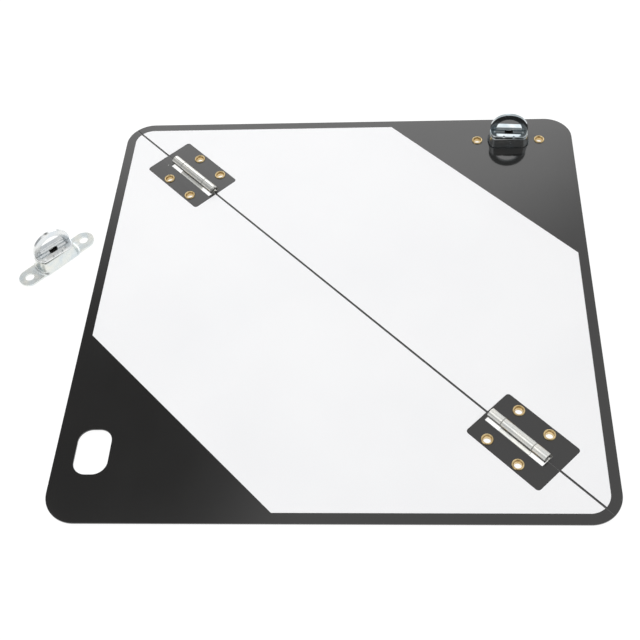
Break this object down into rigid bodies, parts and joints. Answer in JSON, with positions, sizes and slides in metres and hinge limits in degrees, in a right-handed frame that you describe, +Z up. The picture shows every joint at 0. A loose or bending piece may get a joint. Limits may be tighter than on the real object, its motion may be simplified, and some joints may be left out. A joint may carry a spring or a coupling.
{
  "type": "folding vehicle placard",
  "caption": "Square sheet-metal placard folding along its diagonal on butt hinges, black and white, with a corner twist lock and a loose matching twist lock.",
  "frame": {"origin": "bottom centre of the whole kit's box, on the surface that it lies on", "axes": "+Z up, out of the placard's face; +X along the kit's longest side, from the loose lock towards the placard; +Y away from the viewer"},
  "size_m": [0.3488, 0.3, 0.0256],
  "materials": {
    "black_paint": "gloss",
    "white_film": "satin",
    "zinc_plate": "polished",
    "brass": "polished"
  },
  "bodies": {
    "fixed_half": {"fixed_panel": "black_paint", "fixed_white_film": "white_film", "catch_base": "zinc_plate", "catch_spring": "zinc_plate", "catch_rivet_1": "brass", "catch_rivet_2": "brass", "left_hinge_fixed_leaf": "zinc_plate", "left_hinge_pin": "zinc_plate", "left_hinge_fixed_rivet_1": "brass", "left_hinge_fixed_rivet_2": "brass", "right_hinge_fixed_leaf": "zinc_plate", "right_hinge_pin": "zinc_plate", "right_hinge_fixed_rivet_1": "brass", "right_hinge_fixed_rivet_2": "brass"},
    "swing_half": {"swing_panel": "black_paint", "swing_white_film": "white_film", "left_hinge_swing_leaf": "zinc_plate", "left_hinge_swing_rivet_1": "brass", "left_hinge_swing_rivet_2": "brass", "right_hinge_swing_leaf": "zinc_plate", "right_hinge_swing_rivet_1": "brass", "right_hinge_swing_rivet_2": "brass"},
    "catch_plunger": {"catch_stem": "zinc_plate", "catch_washer": "zinc_plate"},
    "catch_head_turner": {"catch_head": "zinc_plate"},
    "catch_finger_ring": {"catch_ring": "zinc_plate"},
    "keeper_lock": {"keeper_base": "zinc_plate", "keeper_spring": "zinc_plate"},
    "keeper_plunger": {"keeper_stem": "zinc_plate", "keeper_washer": "zinc_plate"},
    "keeper_head_turner": {"keeper_head": "zinc_plate"},
    "keeper_finger_ring": {"keeper_ring": "zinc_plate"}
  },
  "joints": [
    {"name": "placard_fold", "type": "hinge", "parent": "fixed_half", "child": "swing_half", "pos_m": [0.02443, 0, 0.0051], "axis": [-0.7071, 0.7071, 0], "range_deg": [0, 180]},
    {"name": "keeper_place", "type": "slide", "parent": "fixed_half", "child": "keeper_lock", "axis": [0, 0, 1], "range_m": [0, 0.05]},
    {"name": "catch_lift", "type": "slide", "parent": "fixed_half", "child": "catch_plunger", "axis": [0, 0, 1], "range_m": [0, 0.0015], "stiffness_N_per_m": 1500, "springref_m": -0.0015, "deforming": ["catch_spring"]},
    {"name": "catch_turn", "type": "hinge", "parent": "catch_plunger", "child": "catch_head_turner", "pos_m": [0.13223, 0.1297, 0.00965], "axis": [0, 0, 1], "range_deg": [0, 90]},
    {"name": "catch_ring_fold", "type": "hinge", "parent": "catch_head_turner", "child": "catch_finger_ring", "pos_m": [0.13226, 0.1302, 0.01245], "axis": [-0.9976, 0.0698, 0], "range_deg": [0, 94]},
    {"name": "keeper_lift", "type": "slide", "parent": "keeper_lock", "child": "keeper_plunger", "axis": [0, 0, 1], "range_m": [0, 0.0015], "stiffness_N_per_m": 1500, "springref_m": -0.0015, "deforming": ["keeper_spring"]},
    {"name": "keeper_turn", "type": "hinge", "parent": "keeper_plunger", "child": "keeper_head_turner", "pos_m": [-0.15397, 0.0314, 0.009], "axis": [0, 0, 1], "range_deg": [0, 90]},
    {"name": "keeper_ring_fold", "type": "hinge", "parent": "keeper_head_turner", "child": "keeper_finger_ring", "pos_m": [-0.15431, 0.03177, 0.0118], "axis": [-0.7302, -0.6833, 0], "range_deg": [0, 94]}
  ]
}
